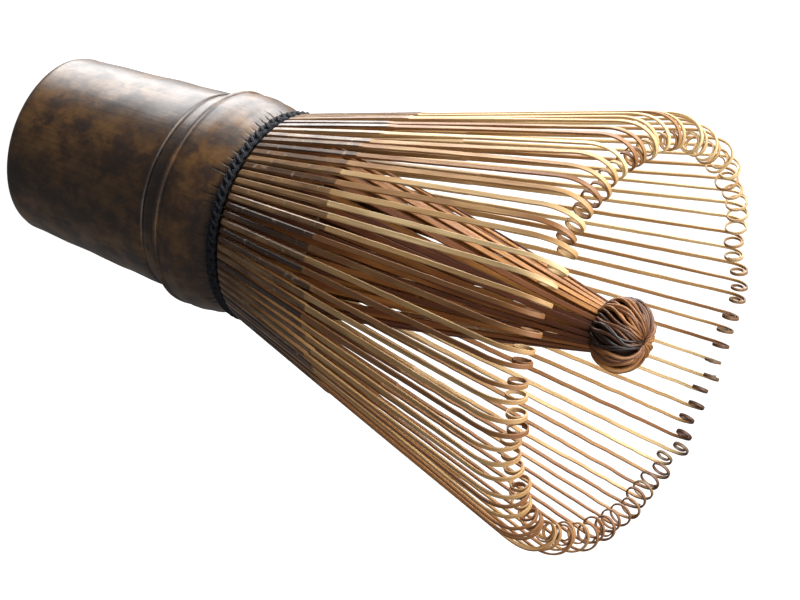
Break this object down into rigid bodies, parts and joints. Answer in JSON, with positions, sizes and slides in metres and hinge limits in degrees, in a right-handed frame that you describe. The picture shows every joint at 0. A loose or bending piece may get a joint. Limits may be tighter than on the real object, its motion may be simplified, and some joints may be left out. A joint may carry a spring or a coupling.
{
  "type": "bamboo tea whisk",
  "caption": "Bamboo whisk for powdered tea: hollow culm handle with a node, thread-laced curled outer tines, and an inner core tied in a knot.",
  "frame": {"origin": "centre of the flat butt that the whisk stands on, at the base of its bounding box", "axes": "+Z along the axis of the whisk from the butt to the tips of the tines; +X runs through the middle of outer tine group 01"},
  "size_m": [0.0628, 0.0628, 0.104],
  "materials": {
    "smoked_culm": "glossy smoked bamboo rind, mottled dark brown",
    "shaved_bamboo": "satin shaved bamboo with dark rind left at the roots",
    "inner_bamboo": "satin orange-brown bamboo",
    "knot_bamboo": "satin wound strands, dark brown with tan ones",
    "thread": "matte near-black thread"
  },
  "bodies": {
    "handle": {"culm_handle": "smoked_culm", "lacing_thread": "thread", "core_knot": "knot_bamboo", "inner_tines_01": "inner_bamboo", "inner_tines_02": "inner_bamboo", "inner_tines_03": "inner_bamboo", "inner_tines_04": "inner_bamboo", "inner_tines_05": "inner_bamboo", "inner_tines_06": "inner_bamboo", "inner_tines_07": "inner_bamboo", "inner_tines_08": "inner_bamboo"},
    "tine_group_01": {"outer_tines_01": "shaved_bamboo"},
    "tine_group_02": {"outer_tines_02": "shaved_bamboo"},
    "tine_group_03": {"outer_tines_03": "shaved_bamboo"},
    "tine_group_04": {"outer_tines_04": "shaved_bamboo"},
    "tine_group_05": {"outer_tines_05": "shaved_bamboo"},
    "tine_group_06": {"outer_tines_06": "shaved_bamboo"},
    "tine_group_07": {"outer_tines_07": "shaved_bamboo"},
    "tine_group_08": {"outer_tines_08": "shaved_bamboo"},
    "tine_group_09": {"outer_tines_09": "shaved_bamboo"},
    "tine_group_10": {"outer_tines_10": "shaved_bamboo"},
    "tine_group_11": {"outer_tines_11": "shaved_bamboo"},
    "tine_group_12": {"outer_tines_12": "shaved_bamboo"},
    "tine_group_13": {"outer_tines_13": "shaved_bamboo"},
    "tine_group_14": {"outer_tines_14": "shaved_bamboo"},
    "tine_group_15": {"outer_tines_15": "shaved_bamboo"},
    "tine_group_16": {"outer_tines_16": "shaved_bamboo"},
    "tine_group_17": {"outer_tines_17": "shaved_bamboo"},
    "tine_group_18": {"outer_tines_18": "shaved_bamboo"},
    "tine_group_19": {"outer_tines_19": "shaved_bamboo"},
    "tine_group_20": {"outer_tines_20": "shaved_bamboo"}
  },
  "joints": [
    {"name": "tine_flex_01", "type": "hinge", "parent": "handle", "child": "tine_group_01", "pos_m": [0.01445, 0, 0.0412], "axis": [0, 1, 0], "range_deg": [-2.5, 4], "stiffness_Nm_per_rad": 0.03},
    {"name": "tine_flex_02", "type": "hinge", "parent": "handle", "child": "tine_group_02", "pos_m": [0.01374, 0.00447, 0.0412], "axis": [-0.309, 0.9511, 0], "range_deg": [-2.5, 4], "stiffness_Nm_per_rad": 0.03},
    {"name": "tine_flex_03", "type": "hinge", "parent": "handle", "child": "tine_group_03", "pos_m": [0.01169, 0.00849, 0.0412], "axis": [-0.5878, 0.809, 0], "range_deg": [-2.5, 4], "stiffness_Nm_per_rad": 0.03},
    {"name": "tine_flex_04", "type": "hinge", "parent": "handle", "child": "tine_group_04", "pos_m": [0.00849, 0.01169, 0.0412], "axis": [-0.809, 0.5878, 0], "range_deg": [-2.5, 4], "stiffness_Nm_per_rad": 0.03},
    {"name": "tine_flex_05", "type": "hinge", "parent": "handle", "child": "tine_group_05", "pos_m": [0.00447, 0.01374, 0.0412], "axis": [-0.9511, 0.309, 0], "range_deg": [-2.5, 4], "stiffness_Nm_per_rad": 0.03},
    {"name": "tine_flex_06", "type": "hinge", "parent": "handle", "child": "tine_group_06", "pos_m": [0, 0.01445, 0.0412], "axis": [-1, 0, 0], "range_deg": [-2.5, 4], "stiffness_Nm_per_rad": 0.03},
    {"name": "tine_flex_07", "type": "hinge", "parent": "handle", "child": "tine_group_07", "pos_m": [-0.00447, 0.01374, 0.0412], "axis": [-0.9511, -0.309, 0], "range_deg": [-2.5, 4], "stiffness_Nm_per_rad": 0.03},
    {"name": "tine_flex_08", "type": "hinge", "parent": "handle", "child": "tine_group_08", "pos_m": [-0.00849, 0.01169, 0.0412], "axis": [-0.809, -0.5878, 0], "range_deg": [-2.5, 4], "stiffness_Nm_per_rad": 0.03},
    {"name": "tine_flex_09", "type": "hinge", "parent": "handle", "child": "tine_group_09", "pos_m": [-0.01169, 0.00849, 0.0412], "axis": [-0.5878, -0.809, 0], "range_deg": [-2.5, 4], "stiffness_Nm_per_rad": 0.03},
    {"name": "tine_flex_10", "type": "hinge", "parent": "handle", "child": "tine_group_10", "pos_m": [-0.01374, 0.00447, 0.0412], "axis": [-0.309, -0.9511, 0], "range_deg": [-2.5, 4], "stiffness_Nm_per_rad": 0.03},
    {"name": "tine_flex_11", "type": "hinge", "parent": "handle", "child": "tine_group_11", "pos_m": [-0.01445, 0, 0.0412], "axis": [0, -1, 0], "range_deg": [-2.5, 4], "stiffness_Nm_per_rad": 0.03},
    {"name": "tine_flex_12", "type": "hinge", "parent": "handle", "child": "tine_group_12", "pos_m": [-0.01374, -0.00447, 0.0412], "axis": [0.309, -0.9511, 0], "range_deg": [-2.5, 4], "stiffness_Nm_per_rad": 0.03},
    {"name": "tine_flex_13", "type": "hinge", "parent": "handle", "child": "tine_group_13", "pos_m": [-0.01169, -0.00849, 0.0412], "axis": [0.5878, -0.809, 0], "range_deg": [-2.5, 4], "stiffness_Nm_per_rad": 0.03},
    {"name": "tine_flex_14", "type": "hinge", "parent": "handle", "child": "tine_group_14", "pos_m": [-0.00849, -0.01169, 0.0412], "axis": [0.809, -0.5878, 0], "range_deg": [-2.5, 4], "stiffness_Nm_per_rad": 0.03},
    {"name": "tine_flex_15", "type": "hinge", "parent": "handle", "child": "tine_group_15", "pos_m": [-0.00447, -0.01374, 0.0412], "axis": [0.9511, -0.309, 0], "range_deg": [-2.5, 4], "stiffness_Nm_per_rad": 0.03},
    {"name": "tine_flex_16", "type": "hinge", "parent": "handle", "child": "tine_group_16", "pos_m": [0, -0.01445, 0.0412], "axis": [1, 0, 0], "range_deg": [-2.5, 4], "stiffness_Nm_per_rad": 0.03},
    {"name": "tine_flex_17", "type": "hinge", "parent": "handle", "child": "tine_group_17", "pos_m": [0.00447, -0.01374, 0.0412], "axis": [0.9511, 0.309, 0], "range_deg": [-2.5, 4], "stiffness_Nm_per_rad": 0.03},
    {"name": "tine_flex_18", "type": "hinge", "parent": "handle", "child": "tine_group_18", "pos_m": [0.00849, -0.01169, 0.0412], "axis": [0.809, 0.5878, 0], "range_deg": [-2.5, 4], "stiffness_Nm_per_rad": 0.03},
    {"name": "tine_flex_19", "type": "hinge", "parent": "handle", "child": "tine_group_19", "pos_m": [0.01169, -0.00849, 0.0412], "axis": [0.5878, 0.809, 0], "range_deg": [-2.5, 4], "stiffness_Nm_per_rad": 0.03},
    {"name": "tine_flex_20", "type": "hinge", "parent": "handle", "child": "tine_group_20", "pos_m": [0.01374, -0.00447, 0.0412], "axis": [0.309, 0.9511, 0], "range_deg": [-2.5, 4], "stiffness_Nm_per_rad": 0.03}
  ]
}
